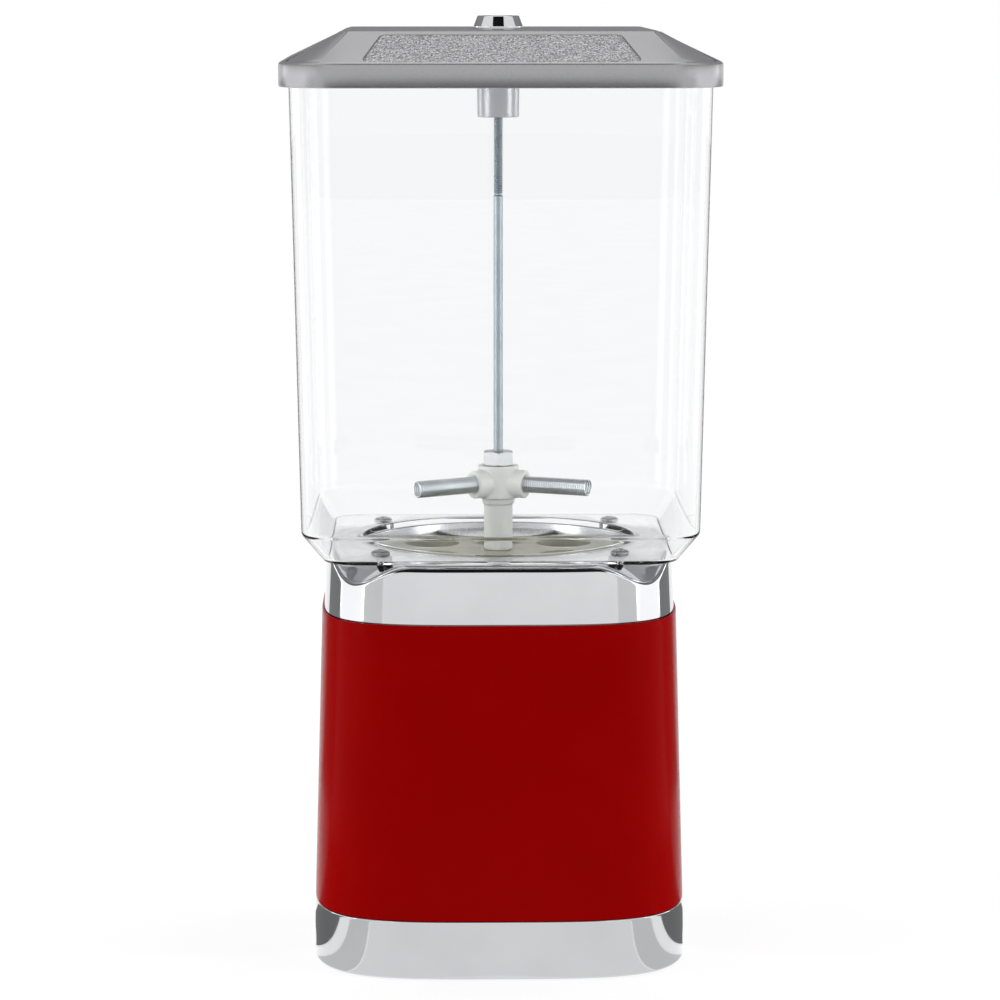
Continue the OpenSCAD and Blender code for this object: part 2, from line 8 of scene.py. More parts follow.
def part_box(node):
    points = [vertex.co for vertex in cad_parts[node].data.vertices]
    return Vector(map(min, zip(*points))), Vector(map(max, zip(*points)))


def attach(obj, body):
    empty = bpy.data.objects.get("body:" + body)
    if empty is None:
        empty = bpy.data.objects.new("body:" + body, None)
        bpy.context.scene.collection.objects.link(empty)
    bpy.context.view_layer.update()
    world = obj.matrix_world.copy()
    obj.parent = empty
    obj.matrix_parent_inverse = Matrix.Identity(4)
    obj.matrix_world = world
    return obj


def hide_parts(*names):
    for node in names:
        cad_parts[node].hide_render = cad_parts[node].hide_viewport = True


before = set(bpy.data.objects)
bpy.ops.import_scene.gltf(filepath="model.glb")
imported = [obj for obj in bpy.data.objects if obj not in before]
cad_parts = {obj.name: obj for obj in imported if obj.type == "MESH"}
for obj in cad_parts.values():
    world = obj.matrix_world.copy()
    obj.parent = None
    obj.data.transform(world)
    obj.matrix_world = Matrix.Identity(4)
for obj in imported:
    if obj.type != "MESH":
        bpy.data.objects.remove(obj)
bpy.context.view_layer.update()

# The looks of a square gumball machine. All shapes are worked out in millimetres and turned into
# metres when a mesh is made; the studio's lamps, boards and camera stand at places in metres.
MM = 0.001
TAU = 2 * math.pi


def low(node):
    """Lowest corner of a CAD node, in millimetres."""
    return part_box(node)[0] / MM


def high(node):
    """Highest corner of a CAD node, in millimetres."""
    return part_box(node)[1] / MM


# ---- sizes ----

# Levels and half widths, from the frame.
TRIM_Z = low("base_trim").z
SEAM_LOW_Z = low("body_shell").z
SEAM_HIGH_Z = high("body_shell").z
DECK_Z = low("globe").z
GLOBE_TOP_Z = high("globe").z
BASE_HALF = high("base_trim").x
SHELL_LOW_HALF = high("body_shell").x
SHELL_TOP_HALF = SHELL_LOW_HALF - 5.5
COLLAR_LOW_HALF = high("top_collar").x
COLLAR_TOP_HALF = COLLAR_LOW_HALF - 1.8
GLOBE_HALF = high("globe").x
LID_HALF = high("lid").x
LID_TOP_Z = high("lid").z - 0.6
BOSS_LOW_Z = low("lid").z
ROD_R = high("centre_rod").x
ROD_TOP_Z = high("centre_rod").z
ROD_LOW_Z = low("centre_rod").z
ARM_Z = (low("agitator_spring_1").z + high("agitator_spring_1").z) / 2

# Squareness of the cabinet's plan, where 2 is a circle, and the points round it.
CABINET_POWER = 3.8
PLAN_STEPS = 240

# Distance of the four pan screws from the middle, along X and along Y.
SCREW_SPREAD = 79.1

# The lid's levels, and the half width of its flat top.
RIM_LOW_Z = GLOBE_TOP_Z - 8
RIM_TOP_Z = 601
SLOPE_TOP_Z = 621
LID_TOP_HALF = 101

# Directions of the creases beside each corner of the lid, at its rim and at its top.
CREASE_LOW = math.atan2(LID_HALF - 3.3, 117)
CREASE_TOP = math.atan2(LID_TOP_HALF, 97.5)

# The grained recess of one sloping side, in its own plane: u along the rim, v up the slope.
SLOPE_FOOT = Vector((0, 1.2 - LID_HALF, RIM_TOP_Z))
SLOPE_HEAD = Vector((0, -LID_TOP_HALF - 0.6, SLOPE_TOP_Z))
PANEL_LOW_V = 1.6
PANEL_HIGH_V = (SLOPE_HEAD - SLOPE_FOOT).length - 4.8
PANEL_LOW_HALF = 89.5
PANEL_HIGH_HALF = 77
PANEL_SINK = 0.9

# Where the rod's thread starts, and its pitch: 20 turns to the inch.
THREAD_Z = 509
ROD_PITCH = 1.27

# The agitator's arms: the first one's direction, and where the wire starts and ends along it.
FIRST_ARM_DEG = 94.2
ARM_START = 13.2
ARM_END = 67.6

# Point in the middle of the object that lamps and boards face, in metres.
STUDIO_MIDDLE = (0, 0, 0.35)


# ---- outlines and profiles ----

def bowed(phi):
    """Distance to |x|^n + |y|^n = 1 in the direction phi: the cabinet's plan."""
    n = CABINET_POWER
    return (abs(math.cos(phi)) ** n + abs(math.sin(phi)) ** n) ** (-1 / n)


def square_reach(phi, half, corner):
    """Distance to a square with round corners in the direction phi."""
    fold = abs((phi + math.pi / 4) % (math.pi / 2) - math.pi / 4)
    c, s = math.cos(fold), math.sin(fold)
    centre = half - corner
    if half * s / c <= centre:
        return half / c
    b = centre * (c + s)
    return b + math.sqrt(max(b * b - 2 * centre * centre + corner * corner, 0))


def fillet(points, radii, steps=5):
    """Closed outline with each corner rounded; a radius of 0 leaves one point."""
    out = []
    count = len(points)
    for i, (p, radius) in enumerate(zip(points, radii)):
        p = Vector(p)
        if radius == 0:
            out.append(tuple(p))
            continue
        a = (Vector(points[i - 1]) - p).normalized()
        b = (Vector(points[(i + 1) % count]) - p).normalized()
        half = a.angle(b) / 2
        reach = radius / math.tan(half)
        middle = p + (a + b).normalized() * radius / math.sin(half)
        start = p + a * reach - middle
        end = p + b * reach - middle
        sweep = start.angle_signed(end)
        for k in range(steps + 1):
            t = -sweep * k / steps
            c, s = math.cos(t), math.sin(t)
            out.append((middle.x + start.x * c - start.y * s, middle.y + start.x * s + start.y * c))
    return out


def long_runs(points, least=12):
    """Places in a closed outline where a long straight run starts."""
    return [i for i, p in enumerate(points) if math.dist(p, points[(i + 1) % len(points)]) > least]


def held(points, runs):
    """Adds a point near both ends of each long run, so that it is shaded flat between them."""
    gap = 1.0
    out = []
    for i, p in enumerate(points):
        out.append(p)
        if i in runs:
            q = points[(i + 1) % len(points)]
            share = gap / math.dist(p, q)
            out.append((p[0] + (q[0] - p[0]) * share, p[1] + (q[1] - p[1]) * share))
            out.append((q[0] + (p[0] - q[0]) * share, q[1] + (p[1] - q[1]) * share))
    return out


def even_angles(steps):
    """Directions evenly spread round the axis."""
    return [TAU * i / steps for i in range(steps)]


def corner_angles():
    """Directions round a square with round corners, close together at the corners."""
    side_steps, corner_steps = 16, 30
    edge = math.radians(34)
    out = []
    for q in range(4):
        base = q * math.pi / 2
        out += [base + edge * (2 * i / side_steps - 1) for i in range(side_steps)]
        span = math.pi / 2 - 2 * edge
        out += [base + edge + span * i / corner_steps for i in range(corner_steps)]
    return out


# ---- meshes ----

def link_mesh(name, verts, faces, sharp=32):
    """New object from points in millimetres, welded, with outward normals and smooth shading."""
    mesh = bpy.data.meshes.new(name)
    mesh.from_pydata([tuple(c * MM for c in v) for v in verts], [], faces)
    tidy_mesh(mesh, sharp)
    obj = bpy.data.objects.new(name, mesh)
    bpy.context.scene.collection.objects.link(obj)
    return obj


def tidy_mesh(mesh, sharp=32):
    """Welds a mesh, turns its normals outwards and shades it smooth up to a sharp angle."""
    weld = 1e-6
    bm = bmesh.new()
    bm.from_mesh(mesh)
    bmesh.ops.remove_doubles(bm, verts=bm.verts, dist=weld)
    bmesh.ops.dissolve_degenerate(bm, edges=bm.edges, dist=weld)
    bmesh.ops.recalc_face_normals(bm, faces=bm.faces)
    bm.to_mesh(mesh)
    bm.free()
    mesh.shade_smooth()
    mesh.set_sharp_from_angle(angle=math.radians(sharp))


def grid_faces(rows, columns, wrap_rows, wrap_columns, first=0):
    """Four-sided faces between neighbouring rows of points."""
    faces = []
    for r in range(rows if wrap_rows else rows - 1):
        for c in range(columns if wrap_columns else columns - 1):
            a = first + r * columns + c
            b = first + r * columns + (c + 1) % columns
            below = first + (r + 1) % rows * columns
            faces.append((a, b, below + (c + 1) % columns, below + c))
    return faces


def ring_piece(name, angles, loop, sharp=32):
    """Closed ring: loop(phi) gives the cross-section's (radius, z) points in the direction phi."""
    verts = []
    for phi in angles:
        c, s = math.cos(phi), math.sin(phi)
        verts += [(r * c, r * s, z) for r, z in loop(phi)]
    columns = len(verts) // len(angles)
    return link_mesh(name, verts, grid_faces(len(angles), columns, True, True), sharp)


def lathe(name, profile, steps):
    """Turned solid about Z from (radius, z) points; points on the axis are welded."""
    return ring_piece(name, even_angles(steps), lambda phi: profile)


def evaluated(obj):
    """Applies an object's modifiers to its mesh."""
    graph = bpy.context.evaluated_depsgraph_get()
    graph.update()
    mesh = bpy.data.meshes.new_from_object(obj.evaluated_get(graph))
    obj.modifiers.clear()
    obj.data = mesh
    return obj


def cut(obj, cutters):
    """Takes the cutters out of obj."""
    for cutter in cutters:
        mod = obj.modifiers.new("cut", "BOOLEAN")
        mod.operation = "DIFFERENCE"
        mod.solver = "EXACT"
        mod.object = cutter
    evaluated(obj)
    for cutter in cutters:
        bpy.data.objects.remove(cutter)
    return obj


def cad_copy(name, node):
    """New object with a CAD node's shape, welded and with its flat faces whole."""
    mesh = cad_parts[node].data.copy()
    mesh.materials.clear()
    bm = bmesh.new()
    bm.from_mesh(mesh)
    bmesh.ops.remove_doubles(bm, verts=bm.verts, dist=2e-6)
    bmesh.ops.dissolve_limit(bm, angle_limit=math.radians(0.6), verts=bm.verts, edges=bm.edges)
    bmesh.ops.recalc_face_normals(bm, faces=bm.faces)
    bm.to_mesh(mesh)
    bm.free()
    obj = bpy.data.objects.new(name, mesh)
    bpy.context.scene.collection.objects.link(obj)
    return obj


def softened(name, node, width, segments):
    """CAD node's shape with its hard edges rounded."""
    obj = cad_copy(name, node)
    mod = obj.modifiers.new("edges", "BEVEL")
    mod.width = width * MM
    mod.segments = segments
    mod.limit_method = "ANGLE"
    mod.angle_limit = math.radians(38)
    mod.use_clamp_overlap = True
    evaluated(obj)
    obj.data.shade_smooth()
    obj.data.set_sharp_from_angle(angle=math.radians(32))
    return obj


def moulded(name, node, voxel, rounds):
    """CAD node's shape with soft moulded corners, inside and out."""
    obj = cad_copy(name, node)
    mod = obj.modifiers.new("skin", "REMESH")
    mod.mode = "VOXEL"
    mod.voxel_size = voxel * MM
    mod.adaptivity = 0
    smooth = obj.modifiers.new("soft", "CORRECTIVE_SMOOTH")
    smooth.use_only_smooth = True
    smooth.smooth_type = "SIMPLE"
    smooth.iterations = rounds
    smooth.factor = 0.5
    evaluated(obj)
    obj.data.shade_smooth()
    return obj


def place(obj, body, slot, material, *nodes):
    """Gives a piece its material, hangs it on the body that it moves with and hides the CAD nodes that it
    stands for.
    """
    obj.data.materials.clear()
    obj.data.materials.append(material)
    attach(obj, body)
    if nodes:
        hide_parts(*nodes)
    return obj


def repaint(node, material):
    """Gives a CAD node that stays its material."""
    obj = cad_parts[node]
    obj.data.materials.clear()
    obj.data.materials.append(material)


# ---- materials ----

def new_material(name):
    """New material, its node tree and its main shader."""
    material = bpy.data.materials.new(name)
    material.use_nodes = True
    tree = material.node_tree
    return material, tree, tree.nodes["Principled BSDF"]


def pattern(tree, scale, detail, stretch=(1, 1, 1)):
    """Noise in the object's own space, in cycles per metre."""
    coords = tree.nodes.new("ShaderNodeTexCoord")
    mapping = tree.nodes.new("ShaderNodeMapping")
    mapping.inputs["Scale"].default_value = stretch
    grain = tree.nodes.new("ShaderNodeTexNoise")
    grain.inputs["Scale"].default_value = scale
    grain.inputs["Detail"].default_value = detail
    tree.links.new(coords.outputs["Object"], mapping.inputs["Vector"])
    tree.links.new(mapping.outputs["Vector"], grain.inputs["Vector"])
    return grain.outputs["Fac"]


def vary(tree, factor, socket, low_value, high_value, start=0.3, end=0.7):
    """Drives a number socket between two values."""
    ramp = tree.nodes.new("ShaderNodeMapRange")
    ramp.inputs["From Min"].default_value = start
    ramp.inputs["From Max"].default_value = end
    ramp.inputs["To Min"].default_value = low_value
    ramp.inputs["To Max"].default_value = high_value
    tree.links.new(factor, ramp.inputs["Value"])
    tree.links.new(ramp.outputs["Result"], socket)


def vary_colour(tree, factor, socket, dark, light, start=0.3, end=0.7):
    """Drives a colour socket between two colours."""
    ramp = tree.nodes.new("ShaderNodeValToRGB")
    ramp.color_ramp.elements[0].position = start
    ramp.color_ramp.elements[0].color = (*dark, 1)
    ramp.color_ramp.elements[1].position = end
    ramp.color_ramp.elements[1].color = (*light, 1)
    tree.links.new(factor, ramp.inputs["Fac"])
    tree.links.new(ramp.outputs["Color"], socket)


def bump(tree, shader, height, distance, strength):
    """Gives a shader a fine relief, in metres."""
    node = tree.nodes.new("ShaderNodeBump")
    node.inputs["Strength"].default_value = strength
    node.inputs["Distance"].default_value = distance
    tree.links.new(height, node.inputs["Height"])
    tree.links.new(node.outputs["Normal"], shader.inputs["Normal"])


def metal(name, dark, light, smooth, rough, grain_scale, stretch=(1, 1, 1), relief=0.00002, lift=0.15):
    """Bare or plated metal with cloudy tone, uneven polish and a fine grain."""
    material, tree, shader = new_material(name)
    shader.inputs["Metallic"].default_value = 1.0
    cloud = pattern(tree, 25, 4)
    fine = pattern(tree, grain_scale, 5, stretch)
    vary_colour(tree, cloud, shader.inputs["Base Color"], dark, light)
    vary(tree, fine, shader.inputs["Roughness"], smooth, rough)
    bump(tree, shader, fine, relief, lift)
    return material


def plastic(name, dark, light, smooth, rough, specular, glow=0.0, grain_scale=900):
    """Moulded plastic with faint flow marks and a fine surface."""
    material, tree, shader = new_material(name)
    shader.inputs["Specular IOR Level"].default_value = specular
    if glow:
        shader.inputs["Subsurface Weight"].default_value = glow
        shader.inputs["Subsurface Radius"].default_value = (0.004, 0.004, 0.003)
        shader.inputs["Subsurface Scale"].default_value = 1.0
    cloud = pattern(tree, 45, 4)
    fine = pattern(tree, grain_scale, 3)
    vary_colour(tree, cloud, shader.inputs["Base Color"], dark, light)
    vary(tree, fine, shader.inputs["Roughness"], smooth, rough)
    bump(tree, shader, fine, 0.00003, 0.2)
    return material


def chrome_plate():
    """Bright plating, a little uneven in its polish."""
    return metal("chrome_plate", (0.63, 0.64, 0.66), (0.67, 0.68, 0.70), 0.04, 0.09, 220,
                 relief=0.00001, lift=0.04)


def red_enamel():
    """Glossy stoved enamel with a faint orange peel under a clear top coat."""
    material, tree, shader = new_material("red_enamel")
    shader.inputs["Specular IOR Level"].default_value = 0.012
    cloud = pattern(tree, 18, 3)
    peel = pattern(tree, 260, 2)
    vary_colour(tree, cloud, shader.inputs["Base Color"], (0.250, 0.0001, 0.0001), (0.266, 0.0002, 0.0001))
    vary(tree, peel, shader.inputs["Roughness"], 0.16, 0.24)
    bump(tree, shader, peel, 0.00004, 0.08)
    return material


def silver_paint(name, dark, light, smooth, rough, grain_scale, lift):
    """Silver paint on a die casting: fine flake over a satin base."""
    material, tree, shader = new_material(name)
    shader.inputs["Metallic"].default_value = 0.75
    flake = pattern(tree, grain_scale, 5)
    vary_colour(tree, flake, shader.inputs["Base Color"], dark, light, 0.35, 0.65)
    vary(tree, pattern(tree, 60, 4), shader.inputs["Roughness"], smooth, rough)
    bump(tree, shader, flake, 0.00006, lift)
    return material


def clear_polycarbonate():
    """Clear wall that bends what is seen through it and lets lamps through to what is inside."""
    material, tree, shader = new_material("clear_polycarbonate")
    shader.inputs["Base Color"].default_value = (0.962, 0.965, 0.969, 1)
    shader.inputs["Transmission Weight"].default_value = 1.0
    shader.inputs["IOR"].default_value = 1.27
    vary(tree, pattern(tree, 30, 3), shader.inputs["Roughness"], 0.0, 0.012, 0.4, 0.8)
    open_air = tree.nodes.new("ShaderNodeBsdfTransparent")
    open_air.inputs["Color"].default_value = (0.96, 0.97, 0.97, 1)
    ray = tree.nodes.new("ShaderNodeLightPath")
    mix = tree.nodes.new("ShaderNodeMixShader")
    tree.links.new(ray.outputs["Is Shadow Ray"], mix.inputs["Fac"])
    tree.links.new(shader.outputs["BSDF"], mix.inputs[1])
    tree.links.new(open_air.outputs["BSDF"], mix.inputs[2])
    tree.links.new(mix.outputs["Shader"], tree.nodes["Material Output"].inputs["Surface"])
    return material


def rubber():
    """Black rubber with a matt skin."""
    return plastic("foot_rubber", (0.018, 0.018, 0.019), (0.03, 0.03, 0.031), 0.6, 0.85, 0.3,
                   grain_scale=1400)


CHROME = chrome_plate()
RED = red_enamel()
SILVER = silver_paint("lid_silver", (0.35, 0.35, 0.365), (0.40, 0.40, 0.42), 0.27, 0.31, 2200, 0.08)
GRAINED = silver_paint("lid_grained", (0.12, 0.12, 0.135), (0.54, 0.54, 0.56), 0.26, 0.34, 850, 0.3)
CLEAR = clear_polycarbonate()
ZINC = metal("zinc_plate", (0.52, 0.57, 0.60), (0.64, 0.69, 0.72), 0.16, 0.30, 700)
STEEL = metal("pressed_steel", (0.52, 0.52, 0.53), (0.58, 0.58, 0.59), 0.24, 0.32, 500, (1, 1, 6),
              relief=0.00001, lift=0.04)
SCREW = metal("screw_steel", (0.60, 0.60, 0.61), (0.72, 0.72, 0.73), 0.14, 0.24, 900)
DARK = metal("dark_steel", (0.22, 0.21, 0.21), (0.36, 0.35, 0.35), 0.22, 0.40, 900)
DULL = metal("dull_steel", (0.42, 0.42, 0.43), (0.55, 0.55, 0.56), 0.30, 0.45, 900)
ROD = metal("rod_zinc", (0.27, 0.31, 0.34), (0.37, 0.41, 0.44), 0.34, 0.46, 700)
NUT = metal("nut_zinc", (0.40, 0.41, 0.42), (0.50, 0.51, 0.52), 0.36, 0.50, 700)
SPRING = metal("spring_wire", (0.60, 0.64, 0.66), (0.76, 0.80, 0.82), 0.14, 0.26, 1200)
CAST = metal("satin_casting", (0.56, 0.57, 0.59), (0.62, 0.63, 0.65), 0.20, 0.28, 800,
             relief=0.00001, lift=0.05)
BRASS = metal("turned_brass", (0.62, 0.45, 0.20), (0.74, 0.57, 0.28), 0.16, 0.30, 900)
WHITE = plastic("white_nylon", (0.60, 0.61, 0.59), (0.66, 0.67, 0.65), 0.32, 0.45, 0.4, 0.25)
CREAM = plastic("cream_acetal", (0.27, 0.27, 0.20), (0.34, 0.34, 0.26), 0.28, 0.42, 0.4, 0.25)
GEAR = plastic("gear_acetal", (0.62, 0.58, 0.42), (0.70, 0.66, 0.50), 0.35, 0.5, 0.4)
GREY = plastic("grey_polystyrene", (0.09, 0.095, 0.105), (0.13, 0.135, 0.145), 0.45, 0.65, 0.4)
RUBBER = rubber()


# ---- cabinet ----

def bowed_ring(name, points, radii):
    """Ring with the cabinet's plan, from (half width, z) points."""
    outline = fillet(points, radii)
    outline = held(outline, long_runs(outline))
    return ring_piece(name, even_angles(PLAN_STEPS), lambda phi: [(a * bowed(phi), z) for a, z in outline])


def base_trim():
    """Chrome skirt with an upright lip inside the painted shell and a ledge for the base plate."""
    wall = 3
    top_z = SEAM_LOW_Z - 0.25
    lip = 6
    lip_half = SHELL_LOW_HALF - 2.2
    lip_inner = SHELL_LOW_HALF - 4.4
    ledge_z = low("base_plate").z
    ledge_half = BASE_HALF - 22
    obj = bowed_ring("base_trim_skirt", [
        (BASE_HALF, TRIM_Z), (SHELL_LOW_HALF + 0.1, top_z), (lip_half, top_z),
        (lip_half - 0.1, SEAM_LOW_Z + lip), (lip_inner, SEAM_LOW_Z + lip), (lip_inner, SEAM_LOW_Z - lip),
        (BASE_HALF - wall, ledge_z), (ledge_half, ledge_z), (ledge_half, ledge_z - wall),
        (BASE_HALF - wall, ledge_z - wall), (BASE_HALF - wall, TRIM_Z)],
        [1.2, 0.7, 0, 0.3, 0.3, 1, 0.5, 0.5, 0.5, 0.5, 0.8])
    place(obj, "cabinet", "chrome", CHROME, "base_trim")


def body_shell():
    """Painted sheet wrapper with a window behind the faceplate."""
    wall = 1.6
    top_z = SEAM_HIGH_Z - 0.25
    obj = bowed_ring("body_shell_painted", [
        (SHELL_LOW_HALF, SEAM_LOW_Z), (SHELL_TOP_HALF, top_z), (SHELL_TOP_HALF - wall, top_z),
        (SHELL_LOW_HALF - wall, SEAM_LOW_Z)],
        [0.6, 0.6, 0.3, 0.3])
    window_half = 32
    window_low_z, window_high_z = 70, 229
    inside_y, outside_y = 90, 135
    window_low = (-window_half, inside_y, window_low_z)
    window_high = (window_half, outside_y, window_high_z)
    cut(obj, [box_piece("window", window_low, window_high)])
    tidy_mesh(obj.data)
    place(obj, "cabinet", "red_paint", RED, "body_shell")


def collar_edge(phi):
    """Height of the deck's edge: level along each side, then an S curve down into the corner."""
    level_z = DECK_Z - 0.4
    corner_drop = 14.2
    level_to = math.radians(29)
    fold = abs((phi + math.pi / 4) % (math.pi / 2) - math.pi / 4)
    t = max(0, (fold - level_to) / (math.pi / 4 - level_to))
    return level_z - corner_drop * t * t * (3 - 2 * t)


def top_collar():
    """Chrome collar whose deck falls away into a scoop at each corner.

    The bowl's flange lies in a recess round the hole, and a lip reaches down inside the shell.
    """
    taper = (COLLAR_LOW_HALF - COLLAR_TOP_HALF) / (DECK_Z - SEAM_HIGH_Z)
    flat_r = 109
    recess_r = high("wheel_housing").x + 0.3
    recess_z = DECK_Z - 2.1
    hole_r = 93.6
    under_z = recess_z - 2
    wall = 2.4
    foot_z = SEAM_HIGH_Z + 0.1
    lip_z = SEAM_HIGH_Z - 10
    lip_half = SHELL_TOP_HALF - 2.1
    lip_inner = lip_half - 2.1

    def loop(phi):
        s = bowed(phi)
        edge_z = collar_edge(phi)
        edge_r = s * (COLLAR_LOW_HALF - taper * (edge_z - SEAM_HIGH_Z))
        return fillet([
            (s * COLLAR_LOW_HALF, foot_z), (edge_r, edge_z), (flat_r, DECK_Z), (recess_r, DECK_Z),
            (recess_r, recess_z), (hole_r, recess_z), (hole_r, under_z), (flat_r - 1, under_z),
            (edge_r - wall * s, edge_z - wall - 0.8), (s * (COLLAR_LOW_HALF - wall), SEAM_HIGH_Z + 3),
            (s * lip_inner, lip_z), (s * lip_half, lip_z), (s * lip_half, foot_z)],
            [0.7, 5, 3.5, 0.5, 0, 0.4, 0.4, 0.4, 0.8, 0, 0.3, 0.3, 0], 6)

    runs = long_runs(loop(0), 10)
    obj = ring_piece("top_collar_casting", even_angles(320), lambda phi: held(loop(phi), runs))
    place(obj, "cabinet", "chrome", CHROME, "top_collar")


def box_piece(name, low_corner, high_corner):
    """Plain block, used only as a cutter."""
    (x0, y0, z0), (x1, y1, z1) = low_corner, high_corner
    verts = [(x, y, z) for x in (x0, x1) for y in (y0, y1) for z in (z0, z1)]
    faces = [(0, 1, 3, 2), (4, 6, 7, 5), (0, 4, 5, 1), (2, 3, 7, 6), (0, 2, 6, 4), (1, 5, 7, 3)]
    return link_mesh(name, verts, faces)


# ---- globe ----

def globe():
    """Clear hopper with a chamfered foot and a raised ring round its floor opening."""
    ring_r = 92
    ring_z = DECK_Z + 4.1
    under_z = DECK_Z + 0.15
    floor_z = DECK_Z + 3
    chamfer_z = DECK_Z + 19
    foot = (GLOBE_HALF - 21, 24.5)
    floor_edge = (GLOBE_HALF - 23.5, 22)
    outer_low = (GLOBE_HALF - 6.3, 31)
    outer_top = (GLOBE_HALF, 32)
    inner_low = (GLOBE_HALF - 9.2, 28)
    inner_top = (GLOBE_HALF - 3, 29)

    def loop(phi):
        def reach(half_and_corner):
            return square_reach(phi, *half_and_corner)
        return fillet([
            (ring_r, under_z), (reach(foot), under_z), (reach(outer_low), chamfer_z),
            (reach(outer_top), GLOBE_TOP_Z), (reach(inner_top), GLOBE_TOP_Z),
            (reach(inner_low), chamfer_z + 1.2), (reach(floor_edge), floor_z),
            (ring_r + 3.6, floor_z), (ring_r + 3, ring_z), (ring_r, ring_z)],
            [0.5, 2.2, 4.5, 1.2, 1.2, 3, 2.5, 0.8, 0.4, 0.5], 6)

    runs = long_runs(loop(0))
    obj = ring_piece("globe_clear", corner_angles(), lambda phi: held(loop(phi), runs))
    holes = []
    hole_r = 2.2
    hole_low_z, hole_high_z = DECK_Z - 2, floor_z + 2
    for x in (-1, 1):
        for y in (-1, 1):
            hole = lathe("screw_hole", [(0, hole_low_z), (hole_r, hole_low_z), (hole_r, hole_high_z),
                                        (0, hole_high_z)], 24)
            hole.location = Vector((x, y, 0)) * SCREW_SPREAD * MM
            holes.append(hole)
    cut(obj, holes)
    obj.data.shade_smooth()
    obj.data.set_sharp_from_angle(angle=math.radians(40))
    place(obj, "cabinet", "clear_plastic", CLEAR, "globe")


# ---- lid ----

def lid_columns():
    """Directions round the lid at its rim and at its top, with 1 in a corner and 0 on a side."""
    side_steps, corner_steps = 26, 16
    margin = 0.012
    rim_edge, top_edge = math.pi / 2 - CREASE_LOW, math.pi / 2 - CREASE_TOP
    out = []
    for q in range(4):
        turn = q * math.pi / 2
        for i in range(side_steps + 1):
            u = 2 * i / side_steps - 1
            rim_phi = turn + math.atan(u * math.tan(rim_edge))
            top_phi = turn + math.atan(u * math.tan(top_edge))
            out.append((rim_phi, top_phi, 0))
        for i in range(corner_steps + 1):
            t = margin + i * (1 - 2 * margin) / corner_steps
            out.append((turn + rim_edge + t * (math.pi / 2 - 2 * rim_edge),
                        turn + top_edge + t * (math.pi / 2 - 2 * top_edge), 1))
    return out


def lid_shell():
    """Die-cast lid: upright rim, sloping sides with creased corners, and a flat top."""
    columns = lid_columns()
    slope_rows = 14
    under_z = LID_TOP_Z - 3
    boss_z = LID_TOP_Z + 0.6
    inner = (GLOBE_HALF - 3, 30)
    verts = []

    def ring(half, corner, z, at_top=False):
        for rim_phi, top_phi, _ in columns:
            phi = top_phi if at_top else rim_phi
            r = square_reach(phi, half, corner)
            verts.append((r * math.cos(phi), r * math.sin(phi), z))

    def circle(radius, z):
        for _, phi, _ in columns:
            verts.append((radius * math.cos(phi), radius * math.sin(phi), z))

    rows = 0
    for inset, corner, z in (
            (3, 37.5, GLOBE_TOP_Z), (3, 37.5, RIM_LOW_Z + 0.7), (2.5, 38, RIM_LOW_Z + 0.1),
            (1.4, 38.8, RIM_LOW_Z), (0.4, 39.6, RIM_LOW_Z + 0.4), (0, 40, RIM_LOW_Z + 1.4),
            (0, 40, RIM_TOP_Z - 2.4), (0.15, 39.9, RIM_TOP_Z - 1.2), (0.7, 39.5, RIM_TOP_Z - 0.3),
            (1.6, 39, RIM_TOP_Z + 0.3)):
        ring(LID_HALF - inset, corner, z)
        rows += 1
    foot = (LID_HALF - 1.8, 38.9, RIM_TOP_Z + 0.4)
    head = (LID_TOP_HALF + 1.4, 6, LID_TOP_Z - 0.75)
    proud = 0.6
    corner_inset = 2.3
    levels = [(0, 0, 0), (0.01, 1, 0), (0.03, 1, 0.8), (0.05, 1, 1)]
    levels += [(0.05 + 0.91 * k / slope_rows, 1, 1) for k in range(1, slope_rows)]
    levels += [(0.97, 1, 1), (0.99, 0.5, 0.3), (1, 0, 0)]
    for t, stepped, raised in levels:
        for rim_phi, top_phi, at_corner in columns:
            a = square_reach(rim_phi, foot[0], foot[1]) - corner_inset * stepped * at_corner
            b = square_reach(top_phi, head[0], head[1])
            p = Vector((a * math.cos(rim_phi), a * math.sin(rim_phi), foot[2]))
            q = Vector((b * math.cos(top_phi), b * math.sin(top_phi), head[2]))
            point = p.lerp(q, t)
            outwards = Vector((point.x, point.y, 0)).normalized() * 0.4
            verts.append(point + (Vector((0, 0, 0.9)) + outwards) * proud * raised * at_corner)
        rows += 1
    for half, corner, z in (
            (LID_TOP_HALF + 0.3, 5.5, LID_TOP_Z - 0.28), (LID_TOP_HALF - 0.8, 5, LID_TOP_Z - 0.05),
            (LID_TOP_HALF - 2.2, 4.5, LID_TOP_Z)):
        ring(half, corner, z, True)
        rows += 1
    for radius, z in (
            (60, LID_TOP_Z), (22.4, LID_TOP_Z), (21.3, LID_TOP_Z + 0.12), (20.8, LID_TOP_Z + 0.5),
            (20.2, boss_z), (9.8, boss_z), (9.7, under_z), (60, under_z)):
        circle(radius, z)
        rows += 1
    ring(LID_TOP_HALF - 3, 9, under_z, True)
    ring(*inner, RIM_TOP_Z - 1.5)
    ring(*inner, GLOBE_TOP_Z)
    rows += 3
    return link_mesh("lid_casting", verts, grid_faces(rows, len(columns), True, True), 24)


def slope_point(u, v, out):
    """Point of the -Y slope; out is the height above it."""
    up = (SLOPE_HEAD - SLOPE_FOOT).normalized()
    normal = Vector((0, up.y, up.z)).cross(Vector((1, 0, 0)))
    if normal.z < 0:
        normal = -normal
    return SLOPE_FOOT + up * v + Vector((u, 0, 0)) + normal * out


